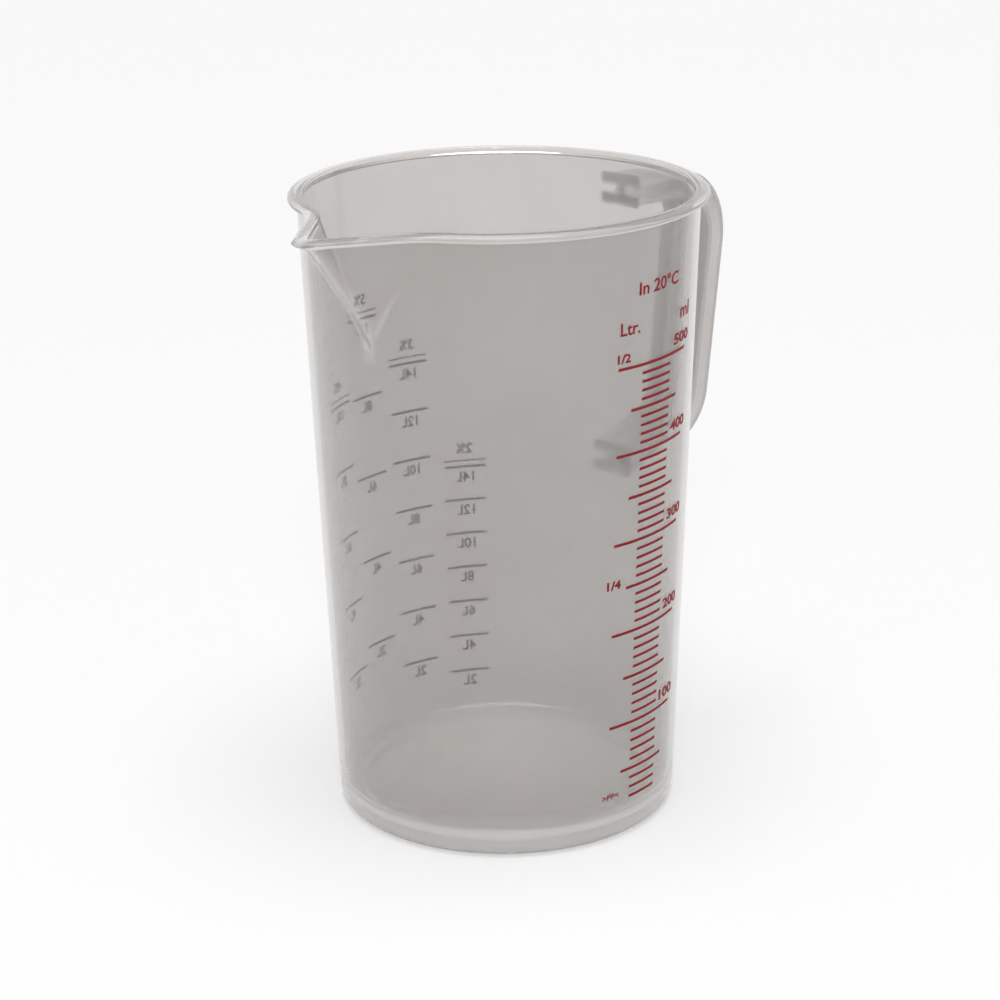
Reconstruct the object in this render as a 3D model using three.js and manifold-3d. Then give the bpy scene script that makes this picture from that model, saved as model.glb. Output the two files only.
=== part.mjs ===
// A half-litre measuring cup of translucent polypropylene: a tapered vessel with a rim bead and a
// V spout, a D handle of I section opposite the spout, and scales printed on both sides.
// Millimetres, +Z up. The handle points along +X and the spout along -X. The millilitre scale
// faces -Y and the mixing scale faces +Y. The origin is on the table, midway between spout and handle.

import * as THREE from "three";
import { mergeVertices } from "three/addons/utils/BufferGeometryUtils.js";
import Module from "manifold-3d";

// Vessel
const height = 140.8; // table to the top of the rim
const rimRadius = 43.6; // outside of the wall at the rim, without the bead
const baseRadius = 38.05; // outside of the wall, run on down to the table
const wall = 1.3;
const beadReach = 1.9; // how far the rim bead stands out of the wall
const beadHeight = 2;
const lipRound = 0.5; // inner edge of the rim
const footHeight = 3; // table to the underside of the floor
const footWidth = 1.6; // flat ring that rests on the table
const footDraft = 0.5; // the recess under the floor narrows by this on its way up
const floorThickness = 1.85;
const baseRound = 3; // outer edge between wall and foot
const floorRound = 3; // inner edge between wall and floor

// Spout
const spoutReach = 62.5; // axis to the tip of the lip, bead included
const spoutDepth = 27.3; // rim to the foot of the V
const spoutWidth = 30.6; // across the V at the rim
const keelBend = 1.15; // 1 is a straight keel, more turns the lip outwards
const keelRound = 2.1; // radius of the keel at the rim, shrinking to none at the foot of the V
const creaseRound = 3; // reach of the soft crease between the V and the wall, at the rim

// Handle
const handleReach = 75.8; // axis to the outermost point of the grip
const handleTop = 5.2; // rim to the upper face of the handle at the wall
const handleDrop = 0.085; // fall of the upper arm for each millimetre outwards
const gripLean = 0.16; // how far the grip comes in for each millimetre downwards
const gripLength = 61; // between the sharp outer corners, upright
const lowerArmDrop = 0.2; // fall of the lower arm for each millimetre inwards
const upperRound = 16.5; // outer corner radius above the grip
const lowerRound = 13; // outer corner radius below the grip
const handleWidth = 10.6;
const handleDepth = 6.2; // outer face to the face that the fingers touch
const flange = 1.7;
const web = 1.8;
const handleGap = 0.3; // between the handle's roots and the vessel

// Print
const capacity = 500; // top line of the scale, in millilitres
const scaleStep = 50; // between the longer lines, in millilitres
const fullLineEvery = 100; // every line of this pitch runs the full width
const scaleMiddle = -88.9; // degrees from the handle
const fullLineSpan = 31.8; // degrees
const halfLineSpan = 21.6; // degrees
const scaleLineWidth = 0.55;
const mixMiddle = 80.3; // degrees from the handle
const mixLineSpan = 14.4; // degrees
const mixLineWidth = 0.5;
const inkGap = 0.08; // keeps the ink clear of the wall's facets
const inkThickness = 0.14;
// Each mixing column is for one share of concentrate in water, up to a bath of so many litres, and
// keeps clear of the column before it by so many degrees.
const mixColumns = [
  { percent: 2, litres: 14, clear: 0 },
  { percent: 3, litres: 14, clear: 5.1 },
  { percent: 5, litres: 10, clear: 3.5 },
  { percent: 4, litres: 10, clear: 2.4 },
];
const mixStep = 2; // litres between two lines of a column

// Fineness of the facets
const aroundSteps = 96;
const roundSteps = 4;
const spoutSteps = 8;
const armSteps = 8;
const inkStepDegrees = 4;
const levelRounds = 30; // repeats that settle the height of a volume
const weldDistance = 1e-4;

const millilitre = 1000; // in cubic millimetres
const litre = 1000; // in millilitres

const wasm = await Module();
wasm.setup();

const polypropylene = new THREE.MeshStandardMaterial({
  color: 0xc4c3c2,
  roughness: 0.35,
  metalness: 0,
});
const redInk = new THREE.MeshStandardMaterial({
  color: 0xb01f26,
  roughness: 0.5,
  metalness: 0,
});
const greyInk = new THREE.MeshStandardMaterial({
  color: 0x5f5c5e,
  roughness: 0.5,
  metalness: 0,
});

const taper = (rimRadius - baseRadius) / height;
const floorLevel = footHeight + floorThickness;
const beadFoot = height - beadHeight;
const beadMiddle = height - beadHeight / 2;
const spoutFoot = height - spoutDepth;

// Outside radius of the plain wall at a height.
function wallRadius(z) {
  return baseRadius + taper * z;
}

// Height of the liquid's surface for a volume in millilitres.
function levelOf(millilitres) {
  const start = wallRadius(floorLevel) - wall;
  const lostInRound = (1 - Math.PI / 4) * floorRound ** 2 * 2 * Math.PI * start;
  const volume = millilitres * millilitre + lostInRound;
  let depth = 0;
  for (let i = 0; i < levelRounds; i++) {
    const meanSquare = start ** 2 + start * taper * depth + (taper * depth) ** 2 / 3;
    depth = volume / (Math.PI * meanSquare);
  }
  return floorLevel + depth;
}

// Points of an elliptic arc, without its first point.
function arcPoints(x, y, reachX, reachY, from, to, steps) {
  const curve = new THREE.EllipseCurve(x, y, reachX, reachY, from, to, to < from);
  return curve.getPoints(steps).slice(1);
}

// Half of the vessel's section, from the axis under the floor, round the rim, to the axis above it.
function vesselProfile() {
  const baseCentre = wallRadius(baseRound) - baseRound;
  const footInner = baseCentre - footWidth;
  const innerRadius = (z) => wallRadius(z) - wall;
  const roundCentre = innerRadius(floorLevel + floorRound) - floorRound;
  const quarter = Math.PI / 2;
  const points = [
    new THREE.Vector2(0, footHeight),
    new THREE.Vector2(footInner - footDraft, footHeight),
    new THREE.Vector2(footInner, 0),
    new THREE.Vector2(baseCentre, 0),
    ...arcPoints(baseCentre, baseRound, baseRound, baseRound, -quarter, 0, roundSteps),
  ];
  for (let i = 0; i <= spoutSteps; i++) {
    const z = THREE.MathUtils.lerp(spoutFoot, beadFoot, i / spoutSteps);
    points.push(new THREE.Vector2(wallRadius(z), z));
  }
  const beadCentre = wallRadius(beadMiddle);
  points.push(
    ...arcPoints(beadCentre, beadMiddle, beadReach, beadHeight / 2, -quarter, quarter, 2 * roundSteps),
    new THREE.Vector2(innerRadius(height) + lipRound, height),
    new THREE.Vector2(innerRadius(height - lipRound), height - lipRound),
  );
  for (let i = spoutSteps; i >= 0; i--) {
    const z = THREE.MathUtils.lerp(spoutFoot, beadFoot, i / spoutSteps);
    points.push(new THREE.Vector2(innerRadius(z), z));
  }
  points.push(
    new THREE.Vector2(innerRadius(floorLevel + floorRound), floorLevel + floorRound),
    ...arcPoints(roundCentre, floorLevel + floorRound, floorRound, floorRound, 0, -quarter, roundSteps),
    new THREE.Vector2(0, floorLevel),
  );
  return points;
}

// Radius of the spout seen from above, at an angle off its middle and a height, for a surface set in
// from the outer one: a round keel, with straight sides that leave it at a tangent and run to the
// wall. The sides count no further than where they come closest to the axis.
function spoutRadius(angle, z, inset, share) {
  const foot = wallRadius(spoutFoot);
  const keel = foot + (spoutReach - beadReach - foot) * share ** keelBend;
  const round = keelRound * share;
  const centre = keel - round;
  const half = Math.asin(spoutWidth / 2 / rimRadius) * share;
  const corner = new THREE.Vector2(wallRadius(z) * Math.cos(half), wallRadius(z) * Math.sin(half));
  corner.x -= centre;
  const facing = corner.angle() - Math.acos(round / corner.length());
  const roundHere = Math.max(round - inset, 0);
  const tangent = Math.atan2(roundHere * Math.sin(facing), centre + roundHere * Math.cos(facing));
  const turned = Math.abs(angle);
  if (turned < tangent) {
    return centre * Math.cos(angle) + Math.sqrt(roundHere ** 2 - (centre * Math.sin(angle)) ** 2);
  }
  const distance = centre * Math.cos(facing) + round - inset;
  return turned < facing ? distance / Math.cos(turned - facing) : 0;
}

// The larger of two radii, with a soft crease between them.
function softLarger(a, b, reach) {
  const blend = Math.max(reach - Math.abs(a - b), 0);
  return Math.max(a, b) + blend ** 2 / (4 * reach);
}

// The turned vessel, with its wall pushed out along -X into the V spout.
function vesselGeometry() {
  const geometry = new THREE.LatheGeometry(vesselProfile(), aroundSteps);
  geometry.rotateX(Math.PI / 2);
  const position = geometry.getAttribute("position");
  for (let i = 0; i < position.count; i++) {
    const x = position.getX(i);
    const y = position.getY(i);
    const z = position.getZ(i);
    const angle = Math.atan2(y, -x);
    const share = Math.min((z - spoutFoot) / (beadMiddle - spoutFoot), 1);
    if (share > 0) {
      const radius = Math.hypot(x, y);
      const spout = spoutRadius(angle, z, wallRadius(z) - radius, share);
      const pushed = softLarger(radius, spout, creaseRound * share) / radius;
      position.setXY(i, x * pushed, y * pushed);
    }
  }
  return geometry;
}

// The four corners of the handle's outer face seen from the side, from the upper root to the lower
// one. The roots run on to the axis, and the wall trims them.
function handleCorners() {
  const arm = new THREE.Vector2(1, -handleDrop).normalize();
  const grip = new THREE.Vector2(-gripLean, -1).normalize();
  const halfTurn = Math.acos(arm.dot(grip)) / 2;
  const beyondRound = upperRound * (arm.x * Math.tan(halfTurn) - arm.y - 1);
  const outerX = handleReach + beyondRound;
  const rootTop = height - handleTop;
  const upperZ = rootTop - handleDrop * (outerX - wallRadius(rootTop));
  const lowerX = outerX - gripLean * gripLength;
  const lowerZ = upperZ - gripLength;
  return [
    new THREE.Vector2(0, upperZ + handleDrop * outerX),
    new THREE.Vector2(outerX, upperZ),
    new THREE.Vector2(lowerX, lowerZ),
    new THREE.Vector2(0, lowerZ - lowerArmDrop * lowerX),
  ];
}

// One face of the handle seen from the side, set in from its outer face, as points from the upper
// root to the lower one.
function handleLine(inset) {
  const [upperRoot, upper, lower, lowerRoot] = handleCorners();
  const upperArm = insetSide(upperRoot, upper, inset);
  const grip = insetSide(upper, lower, inset);
  const lowerArm = insetSide(lower, lowerRoot, inset);
  return [
    upperArm.from,
    ...cornerArc(upperArm, grip, upperRound - inset),
    ...cornerArc(grip, lowerArm, lowerRound - inset),
    lowerArm.to,
  ];
}

// A straight side moved to the right of its own direction.
function insetSide(from, to, inset) {
  const along = to.clone().sub(from).normalize();
  const inward = new THREE.Vector2(along.y, -along.x);
  const shift = inward.clone().multiplyScalar(inset);
  return { from: from.clone().add(shift), to: to.clone().add(shift), along, inward };
}

// The rounded corner between two sides that turn to the right.
function cornerArc(before, after, radius) {
  const turn = Math.acos(before.along.dot(after.along));
  const apart = after.from.clone().sub(before.from);
  const toCorner = apart.dot(after.inward) / before.along.dot(after.inward);
  const toArc = toCorner - radius * Math.tan(turn / 2);
  const start = before.from.clone().addScaledVector(before.along, toArc);
  const centre = start.clone().addScaledVector(before.inward, radius);
  const points = [];
  for (let i = 0; i <= armSteps; i++) {
    points.push(start.clone().rotateAround(centre, (-turn * i) / armSteps));
  }
  return points;
}

// A strip of the handle between two insets, of a given width across the handle.
function handleStrip(fromInset, toInset, width) {
  const outline = [...handleLine(fromInset), ...handleLine(toInset).reverse()];
  const geometry = new THREE.ExtrudeGeometry(new THREE.Shape(outline), {
    depth: width,
    bevelEnabled: false,
  });
  geometry.rotateX(Math.PI / 2);
  geometry.translate(0, width / 2, 0);
  return geometry;
}

// The space that the wall and the rim bead take, with the gap that the handle keeps, and more than
// enough of it above and below.
function vesselClearance() {
  const top = 2 * height;
  const beadClear = beadFoot - handleGap;
  const points = [
    new THREE.Vector2(0, -height),
    new THREE.Vector2(wallRadius(-height) + handleGap, -height),
    new THREE.Vector2(wallRadius(beadClear) + handleGap, beadClear),
    new THREE.Vector2(wallRadius(beadClear) + beadReach + handleGap, beadClear),
    new THREE.Vector2(wallRadius(top) + beadReach + handleGap, top),
    new THREE.Vector2(0, top),
  ];
  return new THREE.LatheGeometry(points, aroundSteps).rotateX(Math.PI / 2);
}

function solidFrom(geometry) {
  const bare = geometry.clone();
  bare.deleteAttribute("normal");
  bare.deleteAttribute("uv");
  const merged = mergeVertices(bare, weldDistance);
  return new wasm.Manifold(
    new wasm.Mesh({
      numProp: 3,
      vertProperties: merged.getAttribute("position").array,
      triVerts: new Uint32Array(merged.index.array),
    }),
  );
}

function geometryFrom(solid) {
  const mesh = solid.getMesh();
  const geometry = new THREE.BufferGeometry();
  geometry.setAttribute("position", new THREE.BufferAttribute(mesh.vertProperties, 3));
  geometry.setIndex(new THREE.BufferAttribute(mesh.triVerts, 1));
  geometry.computeVertexNormals();
  return geometry;
}

// Two flanges and the web between them, trimmed to the wall.
function handleGeometry() {
  const outer = solidFrom(handleStrip(0, flange, handleWidth));
  const inner = solidFrom(handleStrip(handleDepth - flange, handleDepth, handleWidth));
  const middle = solidFrom(handleStrip(flange / 2, handleDepth - flange / 2, web));
  const whole = outer.add(middle).add(inner);
  return geometryFrom(whole.subtract(solidFrom(vesselClearance())));
}

// One printed line on the wall, at a height, centred on an angle off the handle.
function inkLine(name, level, middle, span, width, material) {
  const inner = wallRadius(level + width / 2) + inkGap;
  const half = THREE.MathUtils.degToRad(span / 2);
  const shape = new THREE.Shape();
  shape.absarc(0, 0, inner + inkThickness, -half, half, false);
  shape.absarc(0, 0, inner, half, -half, true);
  const geometry = new THREE.ExtrudeGeometry(shape, {
    depth: width,
    curveSegments: Math.ceil(span / inkStepDegrees),
    bevelEnabled: false,
  });
  const line = new THREE.Mesh(geometry, material);
  line.name = name;
  line.position.z = level - width / 2;
  line.rotation.z = THREE.MathUtils.degToRad(middle);
  return line;
}

// The longer lines of the millilitre scale.
function millilitreScale() {
  const group = new THREE.Group();
  for (let millilitres = scaleStep; millilitres <= capacity; millilitres += scaleStep) {
    const level = levelOf(millilitres);
    const span = millilitres % fullLineEvery === 0 ? fullLineSpan : halfLineSpan;
    const name = `scale_line_${String(millilitres).padStart(3, "0")}ml`;
    if (level < beadFoot - scaleLineWidth) {
      group.add(inkLine(name, level, scaleMiddle, span, scaleLineWidth, redInk));
    }
  }
  return group;
}

// The lines of the mixing columns: the concentrate in a bath of so many litres, of which every 100
// parts of water take the column's share.
function mixingScale() {
  const group = new THREE.Group();
  const widths = mixColumns.map(({ clear }) => clear + mixLineSpan);
  const wholeWidth = widths.reduce((sum, width) => sum + width);
  let edge = mixMiddle - wholeWidth / 2;
  for (const { percent, litres, clear } of mixColumns) {
    const middle = edge + clear + mixLineSpan / 2;
    edge = middle + mixLineSpan / 2;
    for (let bath = mixStep; bath <= litres; bath += mixStep) {
      const level = levelOf((litre * bath * percent) / (100 + percent));
      const name = `mix_line_${percent}pct_${String(bath).padStart(2, "0")}l`;
      if (level < beadFoot - mixLineWidth) {
        group.add(inkLine(name, level, middle, mixLineSpan, mixLineWidth, greyInk));
      }
    }
  }
  return group;
}

const vessel = new THREE.Mesh(vesselGeometry(), polypropylene);
vessel.name = "cup_body";
const handle = new THREE.Mesh(handleGeometry(), polypropylene);
handle.name = "handle";

const cup = new THREE.Group();
cup.add(vessel, handle, millilitreScale(), mixingScale());
cup.position.x = (spoutReach - handleReach) / 2;

const measuringCup = new THREE.Group();
measuringCup.add(cup);

export default measuringCup;
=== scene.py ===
import math

import bmesh
import bpy
from bpy.props import FloatProperty, FloatVectorProperty, PointerProperty
from mathutils import Matrix, Vector


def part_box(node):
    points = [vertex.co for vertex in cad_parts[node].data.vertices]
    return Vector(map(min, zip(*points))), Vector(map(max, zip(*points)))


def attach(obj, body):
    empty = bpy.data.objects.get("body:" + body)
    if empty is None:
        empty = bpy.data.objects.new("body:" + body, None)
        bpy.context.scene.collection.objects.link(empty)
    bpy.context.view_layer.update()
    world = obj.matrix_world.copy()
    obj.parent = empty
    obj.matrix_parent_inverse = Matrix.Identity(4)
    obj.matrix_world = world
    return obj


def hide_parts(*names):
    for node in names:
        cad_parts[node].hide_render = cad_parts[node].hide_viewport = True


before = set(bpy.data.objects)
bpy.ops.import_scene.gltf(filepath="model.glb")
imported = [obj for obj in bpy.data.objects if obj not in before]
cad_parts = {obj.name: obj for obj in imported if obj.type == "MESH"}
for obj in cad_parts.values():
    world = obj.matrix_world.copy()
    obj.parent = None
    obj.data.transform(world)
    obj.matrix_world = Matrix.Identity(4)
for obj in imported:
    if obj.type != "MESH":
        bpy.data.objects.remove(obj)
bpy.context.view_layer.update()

bl_info = {
    "name": "Measuring Cup",
    "version": (1, 0, 0),
    "blender": (4, 5, 0),
    "location": "View3D > Sidebar > Measuring Cup",
    "description": "Builds a translucent half-litre measuring cup with printed scales on its CAD frame",
    "category": "Add Mesh",
}

MM = 0.001
CUP_LOW, CUP_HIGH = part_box("cup_body")
HANDLE_LOW, HANDLE_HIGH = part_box("handle")
# The rim is round, so it reaches as far along +X from the cup's axis as it does along +Y.
AXIS = Vector((CUP_HIGH.x - CUP_HIGH.y, 0, 0))
# Faces that meet at more than this stay sharp in smooth shading.
SHARP_DEGREES = 35


# Properties

def length(name, description, millimetres):
    """A size that is shown in the scene's length unit."""
    return FloatProperty(
        name=name, description=description, default=millimetres * MM, unit="LENGTH", precision=5
    )


def angle(name, description, degrees):
    """An angle that is shown in degrees."""
    return FloatProperty(
        name=name, description=description, default=math.radians(degrees), subtype="ANGLE"
    )


def share(name, description, value):
    """A plain number without a unit."""
    return FloatProperty(name=name, description=description, default=value, precision=3)


def linear(hex_colour):
    """Linear red, green, blue and alpha of an sRGB colour written as hex."""
    values = [int(hex_colour[i : i + 2], 16) / 255 for i in (1, 3, 5)]
    return [v / 12.92 if v <= 0.04045 else ((v + 0.055) / 1.055) ** 2.4 for v in values] + [1.0]


def colour(name, description, hex_colour):
    """A colour, given as sRGB hex."""
    return FloatVectorProperty(
        name=name, description=description, default=linear(hex_colour), size=4, subtype="COLOR",
        min=0, max=1,
    )


class MouldingSizes(bpy.types.PropertyGroup):
    """Sizes of the moulded vessel and its spout."""

    height: length("Height", "Table to the top of the rim", CUP_HIGH.z / MM)
    rim_radius: length("Rim radius", "Outside of the wall at the rim, without the bead", 43.6)
    base_radius: length("Base radius", "Outside of the wall, run on down to the table", 38.05)
    wall: length("Wall", "Thickness of the wall", 1.3)
    bead_reach: length("Bead reach", "How far the rim bead stands out of the wall", 1.9)
    bead_height: length("Bead height", "Height of the rim bead", 2)
    lip_round: length("Lip round", "Radius of the inner edge of the rim", 0.5)
    foot_height: length("Foot height", "Table to the underside of the floor", 3)
    foot_width: length("Foot width", "Flat ring that rests on the table", 1.6)
    foot_draft: length("Foot draft", "How far the recess under the floor narrows upwards", 0.5)
    foot_round: length("Foot round", "Radius of the edges of the recess under the floor", 0.45)
    floor_thickness: length("Floor", "Thickness of the floor", 1.85)
    base_round: length("Base round", "Radius of the outer edge between wall and foot", 3)
    floor_round: length("Floor round", "Radius of the inner edge between wall and floor", 3)
    spout_reach: length(
        "Spout reach", "Axis to the tip of the lip, bead included", (AXIS.x - CUP_LOW.x) / MM
    )
    spout_depth: length("Spout depth", "Rim to the foot of the V", 27.3)
    spout_width: length("Spout width", "Across the V at the rim", 30.6)
    keel_bend: share("Keel bend", "1 is a straight keel, and more turns the lip outwards", 1.15)
    keel_round: length("Keel round", "Radius of the keel at the rim", 2.1)
    crease_round: length("Crease round", "Reach of the soft crease between the V and the wall", 3)
    # This share also sets how milky the painted highlight along the V's creases is.
    cloudiness: share("Cloudiness", "How milky the base and the rim bead are, from 0 to 1", 0.48)
    floor_cloudiness: share("Floor cloudiness", "How milky the floor is, from 0 to 1", 1)
    cloudy_base: length("Cloudy base", "Height up to which the thick base is milky", 11)
    # Painted light: milky plastic along the V's creases stands in for a highlight there.
    cloudy_crease: length("Cloudy crease", "How far from the V's creases the plastic is milky", 0.8)
    # Painted light: milky plastic along the keel lightens its dark line.
    cloudy_keel: angle("Cloudy keel", "How far from the keel of the spout the plastic is milky", 3.5)


class HandleSizes(bpy.types.PropertyGroup):
    """Sizes of the D handle."""

    reach: length("Reach", "Axis to the outermost point of the grip", (HANDLE_HIGH.x - AXIS.x) / MM)
    top: length("Top", "Rim to the upper face of the handle at the wall", 5.2)
    drop: share("Drop", "Fall of the upper arm for each unit outwards", 0.085)
    grip_lean: share("Grip lean", "How far the grip comes in for each unit downwards", 0.16)
    grip_length: length("Grip length", "Between the sharp outer corners, upright", 61)
    lower_drop: share("Lower drop", "Fall of the lower arm for each unit inwards", 0.2)
    upper_round: length("Upper round", "Outer corner radius above the grip", 16.5)
    lower_round: length("Lower round", "Outer corner radius below the grip", 13)
    width: length("Width", "Across the handle", HANDLE_HIGH.y * 2 / MM)
    depth: length("Depth", "Outer face to the face that the fingers touch", 6.2)
    flange: length("Flange", "Thickness of a flange", 1.7)
    web: length("Web", "Thickness of the web between the flanges", 1.8)
    edge_round: length("Edge round", "Radius of the flanges' edges", 0.5)
    pocket_round: length("Pocket round", "Radius between flange and web", 0.6)
    root_round: length("Root round", "Radius where the handle grows out of the wall", 0.8)
    root_gap: length("Root gap", "Between handle and wall, too thin to see", 0.02)
    cloudiness: share("Cloudiness", "How milky the thick handle is, from 0 to 1", 0.25)
    satin: share("Satin", "Roughness of the handle's skin, from 0 to 1", 0.4)
    # Painted light: out to this distance the arms stay untinted and clear, so the roots seen through
    # the wall look lighter.
    clear_root: length("Clear root", "How far from the wall the arms take on the full tint", 26)


class PrintSizes(bpy.types.PropertyGroup):
    """Sizes and places of the printed scales. Angles are counted from the handle, seen from above."""

    ink_gap: length("Ink gap", "Keeps the ink's inner face clear of the wall", 0.015)
    ink_film: length("Ink film", "Thickness of the ink", 0.03)
    scale_middle: angle("Scale middle", "Middle of the millilitre scale", -88.9)
    full_span: angle("Full line span", "Length of a 100 ml line", 31.8)
    half_span: angle("Half line span", "Length of a 50 ml line", 21.6)
    line_width: length("Line width", "Height of a 50 ml or 100 ml line", 0.66)
    tick_span: angle("Tick span", "Length of a short tick", 13.3)
    tick_width: length("Tick width", "Height of a short tick", 0.64)
    number_left: angle("Numbers, left", "Left end of the numbers", -80.5)
    number_right: angle("Numbers, right", "Right end of the numbers", -70.2)
    number_height: length("Number height", "Height of the numbers", 2.45)
    number_rise: length("Number rise", "Line to the foot of its number", 1.5)
    boldness: share("Boldness", "Spread of the red numbers' strokes, as a share of the letters", 0.035)
    word_boldness: share("Word boldness", "Spread of the red words' strokes, as a share", 0.018)
    mix_middle: angle("Mixing middle", "Middle of the mixing columns", 80.3)
    mix_span: angle("Mixing line span", "Length of a line of a mixing column", 14.4)
    mix_width: length("Mixing line width", "Height of a line of a mixing column", 0.55)
    mix_letter_height: length("Mixing letters", "Height of the letters of the mixing columns", 2.5)
    mix_boldness: share("Mixing boldness", "Spread of the grey letters' strokes, as a share", 0.022)
    mix_label_drop: length("Label drop", "Line to the foot of the label under it", 3.7)
    mix_header_rise: length("Header rise", "Top line of a column to the foot of its header", 3.2)
    mix_rule_rise: length("Rule rise", "Top line of a column to the second rule over it", 1.5)
    mix_rule_width: length("Rule width", "Height of the second rule", 0.35)


class FinishColours(bpy.types.PropertyGroup):
    """Colours of plastic, ink and stage."""

    plastic_clear: colour("Plastic, clear", "Polypropylene where it is clearest", "#D7D5D4")
    plastic_cloudy: colour("Plastic, cloudy", "Polypropylene where it is cloudiest", "#CECAC7")
    # Also mixed in along the keel and the creases of the V, as painted light.
    plastic_milky: colour("Plastic, milky", "Polypropylene where it is thick and milky", "#F0EDEB")
    plastic_depth: colour("Plastic, depth", "What is left of white light in thick plastic", "#B4B2B0")
    red_ink: colour("Red ink", "Millilitre scale", "#8C1216")
    red_ink_thin: colour("Red ink, thin", "Millilitre scale where the ink is thin", "#9A2124")
    grey_ink: colour("Grey ink", "Mixing scale", "#29272A")
    grey_ink_thin: colour("Grey ink, thin", "Mixing scale where the ink is thin", "#3A383B")
    floor: colour("Floor", "Studio floor", "#C3C3C3")
    sky: colour("Sky", "Soft light all around", "#FFFFFF")


class StageSizes(bpy.types.PropertyGroup):
    """Camera, lights and floor."""

    camera_azimuth: angle("Camera azimuth", "Direction from the cup's axis to the camera", -139.8)
    camera_distance: length("Camera distance", "Axis to camera, along the floor", 600.3)
    camera_height: length("Camera height", "Floor to camera", 274.4)
    camera_heading: angle("Camera heading", "Turn of the camera off the cup's axis", 0.063)
    camera_pitch: angle("Camera pitch", "How far the camera looks down", 18.83)
    camera_roll: angle("Camera roll", "Turn of the camera about its own axis", -0.785)
    camera_lens: share("Lens", "Focal length in millimetres on a 36 mm sensor", 102.4)
    floor_radius: length("Floor radius", "Radius of the studio floor", 6000)
    ambient: share("Ambient", "Strength of the soft light from all around", 0.45)
    sky_lamp: share("Sky lamp", "Strength of the broad lamp overhead", 1.5)
    sky_spread: angle("Sky spread", "How wide the lamp overhead looks from the cup", 40)
    front_lamp: share("Front lamp", "Power of the small lamp over the camera, in watts", 1.2)
    front_size: length("Front lamp size", "Width of the small lamp", 120)


# Meshes

def wall_radius(cup, z):
    """Outside radius of the plain wall at a height."""
    return cup.base_radius + (cup.rim_radius - cup.base_radius) * z / cup.height


def spout_radius(cup, off, z, inset, grown):
    """Radius of the spout at an angle off its middle, for a surface set in from the outer one.

    Seen from above it is a round keel, with straight sides that leave it at a tangent and run to the
    wall. The sides count no further than where they come closest to the axis. grown is 0 at the foot
    of the V and 1 at the rim.
    """
    foot = wall_radius(cup, cup.height - cup.spout_depth)
    keel = foot + (cup.spout_reach - cup.bead_reach - foot) * grown**cup.keel_bend
    keel_round = cup.keel_round * grown
    centre = keel - keel_round
    half = math.asin(cup.spout_width / 2 / cup.rim_radius) * grown
    wall = wall_radius(cup, z)
    corner = Vector((wall * math.cos(half) - centre, wall * math.sin(half)))
    facing = math.atan2(corner.y, corner.x) - math.acos(keel_round / corner.length)
    round_here = max(keel_round - inset, 0)
    tangent = math.atan2(round_here * math.sin(facing), centre + round_here * math.cos(facing))
    if abs(off) < tangent:
        return centre * math.cos(off) + math.sqrt(round_here**2 - (centre * math.sin(off)) ** 2)
    if abs(off) < facing:
        return (centre * math.cos(facing) + keel_round - inset) / math.cos(abs(off) - facing)
    return 0


def spout_grown(cup, z):
    """How far the V has grown at a height: 0 at its foot and below, 1 at the lip."""
    foot = cup.height - cup.spout_depth
    lip = cup.height - cup.bead_height / 2
    return min(max((z - foot) / (lip - foot), 0), 1)


def moulded_radius(cup, radius, z, off):
    """Radius of a point of the turned section once the wall is pushed out into the spout."""
    grown = spout_grown(cup, z)
    if grown == 0:
        return radius
    spout = spout_radius(cup, off, z, wall_radius(cup, z) - radius, grown)
    crease = cup.crease_round * grown
    blend = max(crease - abs(radius - spout), 0)
    return max(radius, spout) + blend**2 / (4 * crease)


def arc(x, y, reach_x, reach_y, start, end, steps):
    """Points of an elliptic arc, angles in degrees."""
    turns = [math.radians(start + (end - start) * i / steps) for i in range(steps + 1)]
    return [(x + reach_x * math.cos(t), y + reach_y * math.sin(t)) for t in turns]


def line(first, last, steps):
    """Points between two ends, without the ends."""
    return [
        tuple(a + (b - a) * i / steps for a, b in zip(first, last)) for i in range(1, steps)
    ]


def cup_section(cup):
    """Half of the cup's section, as radius and height.

    It starts in the middle under the floor, and runs up the outside, over the rim and down the inside.
    """
    edge_steps, round_steps, bead_steps, lip_steps = 4, 10, 16, 5
    floor_steps, wall_steps, spout_steps = 6, 30, 48

    def outer(z):
        return wall_radius(cup, z), z

    def inner(z):
        return wall_radius(cup, z) - cup.wall, z

    floor = cup.foot_height + cup.floor_thickness
    base = wall_radius(cup, cup.base_round) - cup.base_round
    recess = base - cup.foot_width
    edge = cup.foot_round
    bead_foot = cup.height - cup.bead_height
    bead_middle = cup.height - cup.bead_height / 2
    spout_foot = cup.height - cup.spout_depth
    floor_edge = inner(floor + cup.floor_round)
    under_x = recess - cup.foot_draft - edge
    under = arc(under_x, cup.foot_height - edge, edge, edge, 90, 0, edge_steps)
    foot = arc(recess + edge, edge, edge, edge, 180, 270, edge_steps)
    corner = arc(base, cup.base_round, cup.base_round, cup.base_round, -90, 0, round_steps)
    bead_x = wall_radius(cup, bead_middle)
    bead = arc(bead_x, bead_middle, cup.bead_reach, cup.bead_height / 2, -90, 90, bead_steps)
    lip_x = inner(cup.height - cup.lip_round)[0] + cup.lip_round
    lip = arc(lip_x, cup.height - cup.lip_round, cup.lip_round, cup.lip_round, 90, 180, lip_steps)
    hollow_x = floor_edge[0] - cup.floor_round
    hollow = arc(hollow_x, floor_edge[1], cup.floor_round, cup.floor_round, 0, -90, round_steps)
    return [
        *line((0, cup.foot_height), under[0], floor_steps), *under, *foot, *corner,
        *line(corner[-1], outer(spout_foot), wall_steps), outer(spout_foot),
        *line(outer(spout_foot), outer(bead_foot), spout_steps), *bead, *lip,
        *line(lip[-1], inner(spout_foot), spout_steps), inner(spout_foot),
        *line(inner(spout_foot), floor_edge, wall_steps), *hollow,
        *line(hollow[-1], (0, floor), floor_steps),
    ]


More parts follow.
